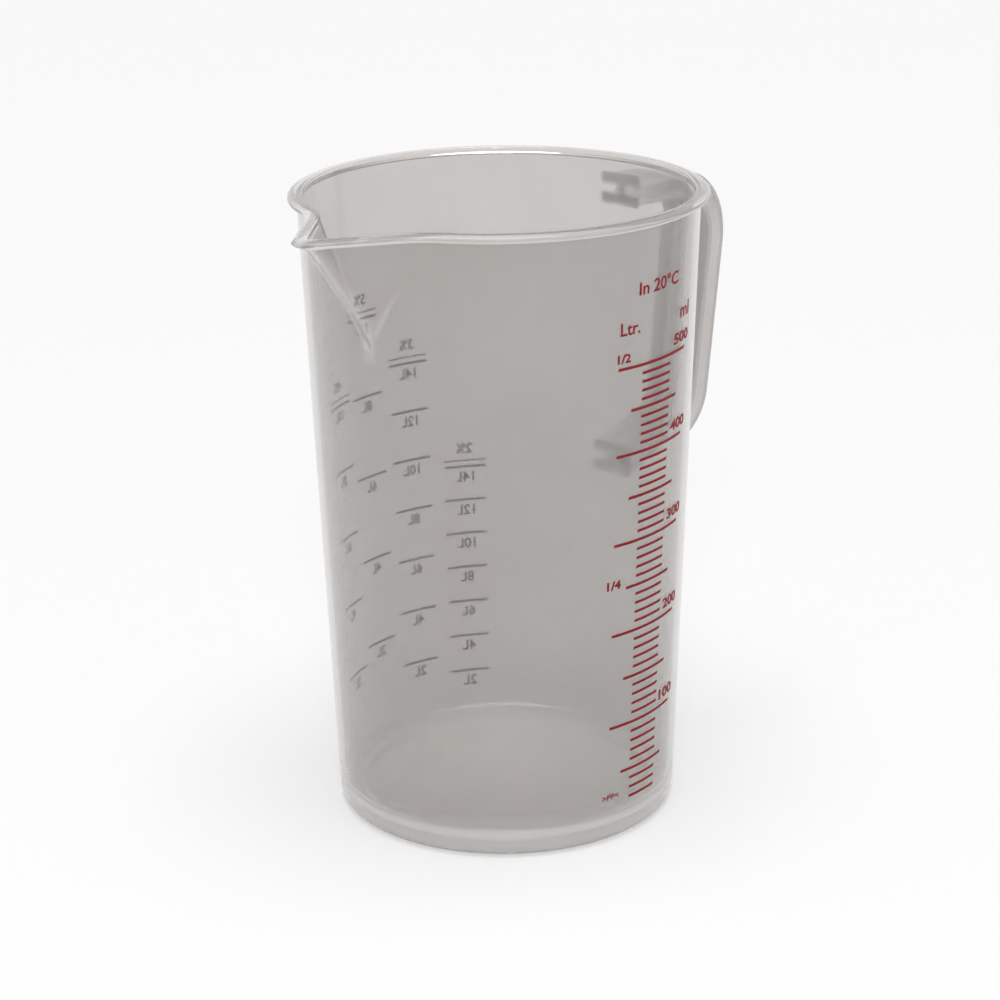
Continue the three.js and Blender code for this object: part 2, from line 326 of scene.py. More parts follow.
def ring_angles():
    """Angles off the spout's middle, closer together at the spout."""
    spout_side, spout_steps, wall_steps = 27.0, 80, 68
    stretches = [(0, spout_side, spout_steps), (spout_side, 180, wall_steps)]
    half = [a + (b - a) * i / n for a, b, n in stretches for i in range(n)] + [180.0]
    return [math.radians(a) for a in half] + [math.radians(-a) for a in reversed(half[1:-1])]


def new_object(name, bm):
    """Turns a bmesh into an object of the scene."""
    mesh = bpy.data.meshes.new(name)
    bm.to_mesh(mesh)
    bm.free()
    made = bpy.data.objects.new(name, mesh)
    bpy.context.scene.collection.objects.link(made)
    return made


def close_rings(bm, rings):
    """Joins rings of as many vertices each with four-sided faces."""
    for lower, upper in zip(rings, rings[1:]):
        for i in range(len(lower)):
            bm.faces.new((lower[i - 1], lower[i], upper[i], upper[i - 1]))


def fade(value, none, full):
    """Rises softly from 0 where value is at none to 1 where it is at full."""
    part = min(max((value - none) / (full - none), 0), 1)
    return part * part * (3 - 2 * part)


def cloudiness_at(cup, radius, z, off):
    """How milky the vessel is: thick places cool slowly in the mould, and cloud over. Along the keel
    and the creases of the V, the milkiness is painted light.
    """
    floor_level = cup.foot_height + cup.floor_thickness
    low = fade(z, cup.cloudy_base, floor_level)
    base = low * cup.cloudiness
    floor_edge = cup.base_radius - cup.wall - cup.floor_round
    floor = low * fade(radius, floor_edge, floor_edge - cup.floor_round)
    bead = fade(radius - wall_radius(cup, z), 0, cup.bead_reach / 2) * cup.cloudiness
    spout_foot = cup.height - cup.spout_depth
    beside = 2.5 * MM
    # Painted light: the keel is milky from just above the foot of the V upwards, which lightens its
    # dark line.
    keel = fade(z, spout_foot - beside, spout_foot + beside) * fade(abs(off), cup.cloudy_keel, 0)
    crease = 0
    grown = spout_grown(cup, z)
    if grown > 0:
        # The creases are milky near the foot of the V, and clear up on the way to the rim. This
        # milkiness is a painted highlight along the creases.
        milky_up_to, clear_from = 0.3, 0.65
        spout = spout_radius(cup, off, z, wall_radius(cup, z) - radius, grown)
        crease = fade(abs(radius - spout), cup.cloudy_crease, 0) * fade(grown, clear_from, milky_up_to)
    return max(base, bead, keel, crease * cup.cloudiness, floor * cup.floor_cloudiness)


def vessel_bmesh(cup):
    """The turned vessel with its spout, closed."""
    bm = bmesh.new()
    cloudiness = bm.verts.layers.float.new("cloudiness")
    angles = ring_angles()
    rings = []
    for radius, z in cup_section(cup):
        ring = []
        for off in angles:
            reach = moulded_radius(cup, radius, z, off)
            vert = bm.verts.new(AXIS + Vector((-reach * math.cos(off), reach * math.sin(off), z)))
            vert[cloudiness] = cloudiness_at(cup, radius, z, off)
            ring.append(vert)
        rings.append(ring)
    close_rings(bm, rings)
    for ring, z in ((rings[0], cup.foot_height), (rings[-1], cup.foot_height + cup.floor_thickness)):
        middle = bm.verts.new(AXIS + Vector((0, 0, z)))
        middle[cloudiness] = cloudiness_at(cup, 0, z, 0)
        for i in range(len(ring)):
            bm.faces.new((ring[i - 1], ring[i], middle))
    bmesh.ops.recalc_face_normals(bm, faces=bm.faces)
    return bm


def handle_corners(cup, handle):
    """Corners of the handle's outer face, seen from the side: from the axis out and back to it."""
    arm = Vector((1, -handle.drop)).normalized()
    grip = Vector((-handle.grip_lean, -1)).normalized()
    half_turn = math.acos(arm.dot(grip)) / 2
    outer_x = handle.reach + handle.upper_round * (arm.x * math.tan(half_turn) - arm.y - 1)
    root_top = cup.height - handle.top
    upper_z = root_top - handle.drop * (outer_x - wall_radius(cup, root_top))
    lower_x = outer_x - handle.grip_lean * handle.grip_length
    lower_z = upper_z - handle.grip_length
    return [
        Vector((0, upper_z + handle.drop * outer_x)),
        Vector((outer_x, upper_z)),
        Vector((lower_x, lower_z)),
        Vector((0, lower_z - handle.lower_drop * lower_x)),
    ]


def handle_route(cup, handle):
    """Points and directions along the middle of the handle, seen from the side, clear of the wall."""
    corners = handle_corners(cup, handle)
    sides = []
    for start, end in zip(corners, corners[1:]):
        along = (end - start).normalized()
        inward = Vector((along.y, -along.x))
        sides.append((start + inward * handle.depth / 2, along, inward))
    straight_steps, bend_steps = 8, 24
    room_for_root = 3 * handle.root_round
    clear = cup.rim_radius + room_for_root + handle.depth / 2
    route = []
    start, along, _ = sides[0]
    route.append((start + along * ((clear - start.x) / along.x), along))
    for before, after, outer_round in zip(
        sides, sides[1:], (handle.upper_round, handle.lower_round)
    ):
        bend = outer_round - handle.depth / 2
        turn = math.acos(before[1].dot(after[1]))
        to_corner = (after[0] - before[0]).dot(after[2]) / before[1].dot(after[2])
        begin = before[0] + before[1] * (to_corner - bend * math.tan(turn / 2))
        centre = begin + before[2] * bend
        last = route[-1][0]
        for i in range(1, straight_steps):
            route.append((last.lerp(begin, i / straight_steps), before[1]))
        for i in range(bend_steps + 1):
            spin = Matrix.Rotation(-turn * i / bend_steps, 2)
            route.append((centre + spin @ (begin - centre), spin @ before[1]))
    along = sides[-1][1]
    last = route[-1][0]
    route.append((last + along * ((clear - last.x) / along.x), along))
    return route


def rounded_outline(corners, longest):
    """Points of a closed outline with round corners, and the outward direction at each.

    corners holds a point and a radius each, counter-clockwise. Straight stretches are cut into
    pieces no longer than longest.
    """
    made = []
    count = len(corners)
    steps = 4
    for i in range(count):
        point, radius = corners[i]
        back = (corners[i - 1][0] - point).normalized()
        ahead = (corners[(i + 1) % count][0] - point).normalized()
        left_turn = back.cross(ahead) < 0
        middle = point + (back + ahead) * radius
        start = point + back * radius
        outward = 1 if left_turn else -1
        for k in range(steps + 1):
            spin = Matrix.Rotation(outward * math.pi / 2 * k / steps, 2)
            arm = spin @ (start - middle)
            made.append((middle + arm, arm.normalized() * outward))
    full = []
    for (point, facing), (following, _) in zip(made, made[1:] + made[:1]):
        cuts = max(1, math.ceil((following - point).length / longest))
        full += [(point.lerp(following, k / cuts), facing) for k in range(cuts)]
    return full


def i_section(handle):
    """Outline of the handle's section: across the handle, then outwards."""
    half_depth, half_width, half_web = handle.depth / 2, handle.width / 2, handle.web / 2
    pocket = half_depth - handle.flange
    edge, inner = handle.edge_round, handle.pocket_round
    quarter = [
        (Vector((half_width, half_depth)), edge),
        (Vector((-half_width, half_depth)), edge),
        (Vector((-half_width, pocket)), edge),
        (Vector((-half_web, pocket)), inner),
        (Vector((-half_web, -pocket)), inner),
        (Vector((-half_width, -pocket)), edge),
    ]
    turned = [(-point, radius) for point, radius in quarter]
    return rounded_outline(quarter + turned, longest=1.2 * MM)


def handle_bmesh(cup, handle):
    """The handle swept along its route, with flared roots that end at the wall."""
    bm = bmesh.new()
    cloudiness = bm.verts.layers.float.new("cloudiness")
    joint_and_root_light = bm.verts.layers.float.new("joint_and_root_light")
    satin = bm.verts.layers.float.new("satin")
    outline = i_section(handle)
    route = handle_route(cup, handle)

    def place(middle, along, across, outwards):
        """A point of the section, at a point of the route."""
        outer = Vector((-along.y, along.x))
        flat = middle + outer * outwards
        return Vector((flat.x, across, flat.y))

    def root_ring(middle, along, off_wall, flare):
        """A ring that keeps one distance from the wall, at the end of an arm."""
        ring = []
        rounds = 6
        for point, facing in outline:
            wide = point + facing * flare
            spot = place(middle, along, wide.x, wide.y)
            for _ in range(rounds):
                reach = wall_radius(cup, spot.z) + off_wall
                slip = (math.sqrt(reach**2 - spot.y**2) - spot.x) / along.x
                spot += Vector((along.x, 0, along.y)) * slip
            ring.append(bm.verts.new(AXIS + spot))
        return ring

    def root_rings(middle, along):
        """Rings from the wall out to the plain section."""
        radius = handle.root_round
        rings = []
        steps, first = 6, 12
        for i in range(steps + 1):
            turn = math.radians(first + (90 - first) * i / steps)
            off_wall = handle.root_gap + radius * (1 - math.cos(turn))
            rings.append(root_ring(middle, along, off_wall, radius * (1 - math.sin(turn))))
        return rings

    rings = root_rings(*route[0])
    for middle, along in route:
        rings.append(
            [bm.verts.new(AXIS + place(middle, along, point.x, point.y)) for point, _ in outline]
        )
    rings += reversed(root_rings(*route[-1]))
    close_rings(bm, rings)
    caps = [bm.faces.new(rings[0]), bm.faces.new(rings[-1])]
    bmesh.ops.triangulate(bm, faces=caps)
    # Painted light: near the wall the arms are untinted and clear, which lightens the roots seen
    # through the wall.
    without_tint = handle.clear_root / 3
    for vert in bm.verts:
        vert[cloudiness] = handle.cloudiness
        vert[satin] = handle.satin
        off_wall = (vert.co - AXIS).xy.length - wall_radius(cup, vert.co.z)
        vert[joint_and_root_light] = fade(off_wall, handle.clear_root, without_tint)
    bmesh.ops.recalc_face_normals(bm, faces=bm.faces)
    return bm


def smooth(made):
    """Shades an object smooth, apart from its sharp edges."""
    made.data.shade_smooth()
    made.data.set_sharp_from_angle(angle=math.radians(SHARP_DEGREES))


def on_wall(cup, turn, z, off_wall):
    """A point off the plain wall, at an angle from the handle."""
    radius = wall_radius(cup, z) + off_wall
    return AXIS + Vector((radius * math.cos(turn), radius * math.sin(turn), z))


def add_strip(bm, cup, ink, level, width, middle, span):
    """Adds a printed line that follows the wall, as a thin closed band."""
    step_degrees = 1.5
    steps = max(2, math.ceil(math.degrees(span) / step_degrees))
    low, high = level - width / 2, level + width / 2
    near, far = ink.ink_gap, ink.ink_gap + ink.ink_film
    rings = []
    for i in range(steps + 1):
        turn = middle + span * (i / steps - 0.5)
        rings.append(
            [
                bm.verts.new(on_wall(cup, turn, z, off))
                for z, off in ((low, near), (low, far), (high, far), (high, near))
            ]
        )
    close_rings(bm, rings)
    bm.faces.new(rings[0])
    bm.faces.new(rings[-1])
    bmesh.ops.recalc_face_normals(bm, faces=bm.faces)


def text_bmesh(words, height, boldness):
    """Words as letters one unit thick, of a given height, with their left edge and foot at 0."""
    half_thickness = 0.5
    curve = bpy.data.curves.new("words", "FONT")
    curve.body = words
    curve.extrude = half_thickness
    curve.offset = boldness
    curve.resolution_u = 4
    curve.fill_mode = "BOTH"
    holder = bpy.data.objects.new("words", curve)
    bpy.context.scene.collection.objects.link(holder)
    shaped = holder.evaluated_get(bpy.context.evaluated_depsgraph_get())
    mesh = bpy.data.meshes.new_from_object(shaped)
    bm = bmesh.new()
    bm.from_mesh(mesh)
    bpy.data.objects.remove(holder)
    bpy.data.curves.remove(curve)
    bpy.data.meshes.remove(mesh)
    tiny = 1e-4
    bmesh.ops.remove_doubles(bm, verts=bm.verts, dist=tiny)
    bmesh.ops.dissolve_degenerate(bm, edges=bm.edges, dist=tiny)
    bmesh.ops.recalc_face_normals(bm, faces=bm.faces)
    low = Vector([min(v.co[i] for v in bm.verts) for i in range(3)])
    high = Vector([max(v.co[i] for v in bm.verts) for i in range(3)])
    grow = height / (high.y - low.y)
    for vert in bm.verts:
        x, y, z = vert.co
        vert.co = Vector(((x - low.x) * grow, (y - low.y) * grow, z + half_thickness))
    return bm, (high.x - low.x) * grow


def printed_words(name, words, cup, ink, boldness, foot, height, middle, span=None):
    """Words that follow the wall, centred on an angle; span stretches them to a given width."""
    bm, width = text_bmesh(words, height, boldness)
    radius = wall_radius(cup, foot)
    stretch = span * radius / width if span else 1
    for vert in bm.verts:
        vert.co.x = (vert.co.x - width / 2) * stretch
    piece, tiny = 0.8 * MM, 0.004 * MM
    cuts = math.ceil(width * stretch / 2 / piece)
    for i in range(-cuts, cuts + 1):
        everything = [*bm.verts, *bm.edges, *bm.faces]
        bmesh.ops.bisect_plane(
            bm, geom=everything, plane_co=(i * piece, 0, 0), plane_no=(1, 0, 0), dist=tiny
        )
    bmesh.ops.dissolve_degenerate(bm, edges=bm.edges, dist=tiny)
    for vert in bm.verts:
        turn = middle + vert.co.x / radius
        vert.co = on_wall(cup, turn, foot + vert.co.y, ink.ink_gap + ink.ink_film * vert.co.z)
    return new_object(name, bm)


def level_of_line(node):
    """Height of the middle of a printed CAD line."""
    low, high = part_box(node)
    return (low.z + high.z) / 2


# Materials

def add_node(tree, kind, values=None, links=None, **settings):
    """Adds a node: settings are its own properties, values its inputs, links what feeds its inputs."""
    node = tree.nodes.new(kind)
    for name, value in settings.items():
        setattr(node, name, value)
    for name, value in (values or {}).items():
        node.inputs[name].default_value = value
    for name, socket in (links or {}).items():
        tree.links.new(socket, node.inputs[name])
    return node


def new_material(name):
    """An empty node material, with its tree and its output."""
    material = bpy.data.materials.new(name)
    material.use_nodes = True
    tree = material.node_tree
    tree.nodes.clear()
    return material, tree, add_node(tree, "ShaderNodeOutputMaterial")


def moulded_polypropylene(colours):
    """Natural polypropylene, injection moulded against a polished tool, which is duller at the handle.

    Clear enough to read print through, with a milky haze and a soft gloss. Thick places look milkier,
    and the handle is satin. The milky keel and creases of the spout, and the untinted, clear arms near
    the wall, are painted light. The melt leaves clouds about 25 mm across, streaks 4 mm apart along its
    flow up the wall, and a waviness of the skin of about 9 mm.
    """
    cloud_size, streak_gap, wave_size = 25 * MM, 4 * MM, 9 * MM
    along_flow = 0.08
    material, tree, output = new_material("moulded polypropylene")
    place = add_node(tree, "ShaderNodeTexCoord").outputs["Object"]
    clouds = add_node(
        tree, "ShaderNodeTexNoise", {"Scale": 1 / cloud_size, "Detail": 3.0}, {"Vector": place}
    )
    upright = add_node(
        tree, "ShaderNodeMapping", {"Scale": (1, 1, along_flow)}, {"Vector": place}
    )
    streaks = add_node(
        tree, "ShaderNodeTexNoise", {"Scale": 1 / streak_gap, "Detail": 2.0},
        {"Vector": upright.outputs["Vector"]},
    )
    waves = add_node(
        tree, "ShaderNodeTexNoise", {"Scale": 1 / wave_size, "Detail": 1.0}, {"Vector": place}
    )
    tint = add_node(
        tree, "ShaderNodeMix", {"A": colours.plastic_clear, "B": colours.plastic_cloudy},
        {"Factor": clouds.outputs["Fac"]}, data_type="RGBA",
    )
    cloudiness = add_node(tree, "ShaderNodeAttribute", attribute_name="cloudiness")
    tint = add_node(
        tree, "ShaderNodeMix", {"B": colours.plastic_milky},
        {"A": tint.outputs["Result"], "Factor": cloudiness.outputs["Fac"]}, data_type="RGBA",
    )
    # Handle and wall are one moulding: where they meet, no skin tints or clouds the light. Near the
    # wall the arms are left untinted and clear as well, which is painted light: it lightens the dark
    # roots seen through the wall. The arms take on the tint and the haze further out.
    joint_and_root_light = add_node(tree, "ShaderNodeAttribute", attribute_name="joint_and_root_light")
    tint = add_node(
        tree, "ShaderNodeMix", {"B": (1, 1, 1, 1)},
        {"A": tint.outputs["Result"], "Factor": joint_and_root_light.outputs["Fac"]}, data_type="RGBA",
    )
    rough = add_node(
        tree, "ShaderNodeMapRange", {"From Min": 0.3, "From Max": 0.7, "To Min": 0.03, "To Max": 0.05},
        {"Value": streaks.outputs["Fac"]},
    )
    # The handle is moulded against a duller tool than the vessel, and blurs what is seen through it.
    satin = add_node(tree, "ShaderNodeAttribute", attribute_name="satin")
    rough = add_node(
        tree, "ShaderNodeMath", None,
        {0: rough.outputs["Result"], 1: satin.outputs["Fac"]}, operation="MAXIMUM",
    )
    clear_share, cloudy_share, haze_of_clouds = 0.89, 0.35, 0.08
    clearness = add_node(
        tree, "ShaderNodeMapRange", {"To Min": clear_share, "To Max": cloudy_share},
        {"Value": cloudiness.outputs["Fac"]},
    )
    clearness = add_node(
        tree, "ShaderNodeMath", {1: -haze_of_clouds},
        {0: clouds.outputs["Fac"], 2: clearness.outputs["Result"]}, operation="MULTIPLY_ADD",
    )
    # The haze is met once, on the way in. Light that is already inside leaves through a clear skin.
    from_inside = add_node(tree, "ShaderNodeNewGeometry").outputs["Backfacing"]
    clearness = add_node(
        tree, "ShaderNodeMath", None,
        {0: clearness.outputs["Value"], 1: from_inside}, operation="MAXIMUM",
    )
    clearness = add_node(
        tree, "ShaderNodeMath", None,
        {0: clearness.outputs["Value"], 1: joint_and_root_light.outputs["Fac"]}, operation="MAXIMUM",
    )
    skin = add_node(
        tree, "ShaderNodeBump", {"Strength": 0.1, "Distance": 0.03 * MM},
        {"Height": waves.outputs["Fac"]},
    )
    plastic = add_node(
        tree, "ShaderNodeBsdfPrincipled",
        {
            "IOR": 1.49,
            "Subsurface Weight": 1.0,
            "Subsurface Radius": (1, 1, 1),
            "Subsurface Scale": 3 * MM,
        },
        {
            "Base Color": tint.outputs["Result"],
            "Roughness": rough.outputs["Value"],
            "Transmission Weight": clearness.outputs["Value"],
            "Normal": skin.outputs["Normal"],
        },
    )
    depth = add_node(
        tree, "ShaderNodeVolumeAbsorption", {"Color": colours.plastic_depth, "Density": 3.0}
    )
    tree.links.new(plastic.outputs["BSDF"], output.inputs["Surface"])
    tree.links.new(depth.outputs["Volume"], output.inputs["Volume"])
    return material


def screen_ink(name, full, thin, light_through):
    """Screen-printed ink: dull, with a faint mottle where the mesh of the screen laid it thinner.

    Its pigment breaks up the surface, so that little of the room is mirrored in it. light_through is 0
    for a dark, opaque ink, and 1 for a bright one that keeps its colour seen from inside, against the
    light. Threads of a screen stand about 0.1 mm apart. They are drawn at 0.3 mm, so that they show.
    """
    mottle_size, thread_gap = 1.2 * MM, 0.3 * MM
    material, tree, output = new_material(name)
    place = add_node(tree, "ShaderNodeTexCoord").outputs["Object"]
    mottle = add_node(
        tree, "ShaderNodeTexNoise", {"Scale": 1 / mottle_size, "Detail": 2.0}, {"Vector": place}
    )
    threads = add_node(
        tree, "ShaderNodeTexVoronoi", {"Scale": 1 / thread_gap}, {"Vector": place}
    )
    tint = add_node(
        tree, "ShaderNodeMix", {"A": full, "B": thin}, {"Factor": mottle.outputs["Fac"]},
        data_type="RGBA",
    )
    rough = add_node(
        tree, "ShaderNodeMapRange", {"To Min": 0.42, "To Max": 0.6}, {"Value": mottle.outputs["Fac"]}
    )
    weave = add_node(
        tree, "ShaderNodeBump", {"Strength": 0.2, "Distance": 0.01 * MM},
        {"Height": threads.outputs["Distance"]},
    )
    ink = add_node(
        tree, "ShaderNodeBsdfPrincipled",
        {
            "IOR": 1.5,
            "Specular IOR Level": 0.12,
            "Subsurface Weight": light_through,
            "Subsurface Radius": (1, 1, 1),
            "Subsurface Scale": 0.3 * MM,
        },
        {
            "Base Color": tint.outputs["Result"],
            "Roughness": rough.outputs["Result"],
            "Normal": weave.outputs["Normal"],
        },
    )
    tree.links.new(ink.outputs["BSDF"], output.inputs["Surface"])
    return material


def looking_ray(tree):
    """A socket: 1 for the camera's rays, also in a gloss or through the plastic, and 0 for light."""
    ray = add_node(tree, "ShaderNodeLightPath")
    seen = add_node(
        tree, "ShaderNodeMath", None,
        {0: ray.outputs["Is Camera Ray"], 1: ray.outputs["Is Glossy Ray"]}, operation="MAXIMUM",
    )
    seen = add_node(
        tree, "ShaderNodeMath", None,
        {0: seen.outputs["Value"], 1: ray.outputs["Is Transmission Ray"]}, operation="MAXIMUM",
    )
    return seen.outputs["Value"]


def studio_card(colours):
    """Pale card of a studio floor, lit from below to white: matt, with a fibre mottle of about 3 mm.

    The light from below shows to the eye, in a gloss and through the plastic, and lights nothing.
    """
    fibre_size, from_below = 3 * MM, 0.435
    material, tree, output = new_material("studio card")
    place = add_node(tree, "ShaderNodeTexCoord").outputs["Object"]
    fibres = add_node(
        tree, "ShaderNodeTexNoise", {"Scale": 1 / fibre_size, "Detail": 2.0}, {"Vector": place}
    )
    rough = add_node(
        tree, "ShaderNodeMapRange", {"To Min": 0.85, "To Max": 0.95}, {"Value": fibres.outputs["Fac"]}
    )
    glow = add_node(
        tree, "ShaderNodeMapRange", {"To Min": 0.0, "To Max": from_below}, {"Value": looking_ray(tree)}
    )
    card = add_node(
        tree, "ShaderNodeBsdfPrincipled",
        {"Base Color": colours.floor, "Specular IOR Level": 0.0, "Emission Color": (1, 1, 1, 1)},
        {"Roughness": rough.outputs["Result"], "Emission Strength": glow.outputs["Result"]},
    )
    tree.links.new(card.outputs["BSDF"], output.inputs["Surface"])
    return material


def material_named(name, make, *parts):
    """A material that is made once and used by every piece that asks for it."""
    return bpy.data.materials.get(name) or make(*parts)


def polypropylene(colours):
    """The plastic of vessel and handle."""
    return material_named("moulded polypropylene", moulded_polypropylene, colours)


def red_ink(colours):
    """The ink of the millilitre scale, which glows a little against the light."""
    return material_named(
        "red screen ink", screen_ink, "red screen ink", colours.red_ink, colours.red_ink_thin, 1.0
    )


def grey_ink(colours):
    """The ink of the mixing scale, which lets no light through."""
    return material_named(
        "grey screen ink", screen_ink, "grey screen ink", colours.grey_ink, colours.grey_ink_thin, 0.0
    )


def dress(made, material):
    """Gives a new piece its material and lets it ride on the cup."""
    made.data.materials.append(material)
    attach(made, "root")


# Operators

class MEASURING_CUP_OT_vessel(bpy.types.Operator):
    """Make the vessel: wall, floor, foot ring, rim bead and spout"""

    bl_idname = "measuring_cup.vessel"
    bl_label = "Vessel"

    def execute(self, context):
        vessel = new_object("vessel", vessel_bmesh(context.scene.cup_moulding))
        smooth(vessel)
        dress(vessel, polypropylene(context.scene.cup_colours))
        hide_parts("cup_body")
        return {"FINISHED"}


class MEASURING_CUP_OT_grip(bpy.types.Operator):
    """Make the D handle of I section"""

    bl_idname = "measuring_cup.grip"
    bl_label = "Handle"

    def execute(self, context):
        grip = new_object("grip", handle_bmesh(context.scene.cup_moulding, context.scene.cup_handle))
        smooth(grip)
        dress(grip, polypropylene(context.scene.cup_colours))
        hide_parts("handle")
        return {"FINISHED"}


class MEASURING_CUP_OT_scale_lines(bpy.types.Operator):
    """Print the lines of the millilitre scale and the short ticks between them"""

    bl_idname = "measuring_cup.scale_lines"
    bl_label = "Scale lines"

    # Millilitres: lowest tick, step from tick to tick, lines, long lines and top line.
    first, step, every, long_every, full = 20, 10, 50, 100, 500

    def execute(self, context):
        cup, ink = context.scene.cup_moulding, context.scene.cup_print
        material = red_ink(context.scene.cup_colours)
        for millilitres in range(self.every, self.full + 1, self.every):
            node = self.node(millilitres)
            span = ink.half_span if millilitres % self.long_every else ink.full_span
            bm = bmesh.new()
            add_strip(bm, cup, ink, level_of_line(node), ink.line_width, ink.scale_middle, span)
            made = new_object(f"ink_{node}", bm)
            dress(made, material)
            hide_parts(node)
        bm = bmesh.new()
        for millilitres in range(self.first, self.full, self.step):
            if millilitres % self.every:
                level = self.level(millilitres)
                add_strip(bm, cup, ink, level, ink.tick_width, ink.scale_middle, ink.tick_span)
        dress(new_object("scale_ticks", bm), material)
        return {"FINISHED"}

    def node(self, millilitres):
        """Name of the CAD line of a volume."""
        return f"scale_line_{millilitres:03d}ml"

    def level(self, millilitres):
        """Height of a volume, between the heights of the two CAD lines next to it."""
        below = max(millilitres // self.every * self.every, self.every)
        low, high = (level_of_line(self.node(ml)) for ml in (below, below + self.every))
        return low + (high - low) * (millilitres - below) / self.every


class MEASURING_CUP_OT_scale_words(bpy.types.Operator):
    """Print the numbers, fractions and units of the millilitre scale"""

    bl_idname = "measuring_cup.scale_words"
    bl_label = "Scale numbers and units"

    numbers = (100, 200, 300, 400, 500)
    # Name, words, left and right end in degrees from the handle, foot and height in millimetres.
    others = (
        ("temperature", "In 20°C", -97.9, -79.5, 124.6, 3.0),
        ("unit_litre", "Ltr.", -104.4, -97.1, 116.6, 2.85),
        ("unit_millilitre", "ml", -77.0, -70.5, 116.4, 3.1),
        ("number_half_litre", "1/2", -105.2, -100.4, 110.7, 2.0),
        ("number_quarter_litre", "1/4", -107.1, -101.8, 60.3, 2.0),
        ("resin_code", ">PP<", -107.0, -100.1, 10.4, 1.4),
    )

    def execute(self, context):
        cup, ink = context.scene.cup_moulding, context.scene.cup_print
        material = red_ink(context.scene.cup_colours)
        middle = (ink.number_left + ink.number_right) / 2
        span = ink.number_right - ink.number_left
        for number in self.numbers:
            foot = level_of_line(f"scale_line_{number}ml") + ink.number_rise
            made = printed_words(
                f"number_{number}ml", str(number), cup, ink, ink.boldness, foot, ink.number_height,
                middle, span,
            )
            dress(made, material)
        for name, words, left, right, foot, height in self.others:
            middle = math.radians((left + right) / 2)
            span = math.radians(right - left)
            boldness = ink.boldness if name.startswith("number") else ink.word_boldness
            made = printed_words(
                name, words, cup, ink, boldness, foot * MM, height * MM, middle, span
            )
            dress(made, material)
        return {"FINISHED"}


class MEASURING_CUP_OT_mixing_scale(bpy.types.Operator):
    """Print the lines of the mixing columns, their labels and headers"""

    bl_idname = "measuring_cup.mixing_scale"
    bl_label = "Mixing scale"

    # Percent, litres at the top line, and the angle that a column keeps clear of the one before.
    columns = ((2, 14, 0.0), (3, 14, 5.1), (5, 10, 3.5), (4, 10, 2.4))
    step = 2

    def execute(self, context):
        cup, ink = context.scene.cup_moulding, context.scene.cup_print
        material = grey_ink(context.scene.cup_colours)
        whole = sum(math.radians(clear) + ink.mix_span for _, _, clear in self.columns)
        edge = ink.mix_middle - whole / 2
        for percent, top, clear in self.columns:
            middle = edge + math.radians(clear) + ink.mix_span / 2
            edge = middle + ink.mix_span / 2
            for litres in range(self.step, top + 1, self.step):
                node = f"mix_line_{percent}pct_{litres:02d}l"
                level = level_of_line(node)
                bm = bmesh.new()
                add_strip(bm, cup, ink, level, ink.mix_width, middle, ink.mix_span)
                made = new_object(f"ink_{node}", bm)
                dress(made, material)
                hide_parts(node)
                made = printed_words(
                    f"mix_label_{percent}pct_{litres:02d}l", f"{litres}L", cup, ink, ink.mix_boldness,
                    level - ink.mix_label_drop, ink.mix_letter_height, middle,
                )
                dress(made, material)
            header = printed_words(
                f"mix_header_{percent}pct", f"{percent}%", cup, ink, ink.mix_boldness,
                level + ink.mix_header_rise, ink.mix_letter_height, middle,
            )
            dress(header, material)
            bm = bmesh.new()
            add_strip(bm, cup, ink, level + ink.mix_rule_rise, ink.mix_rule_width, middle, ink.mix_span)
            dress(new_object(f"mix_rule_{percent}pct", bm), material)
        return {"FINISHED"}


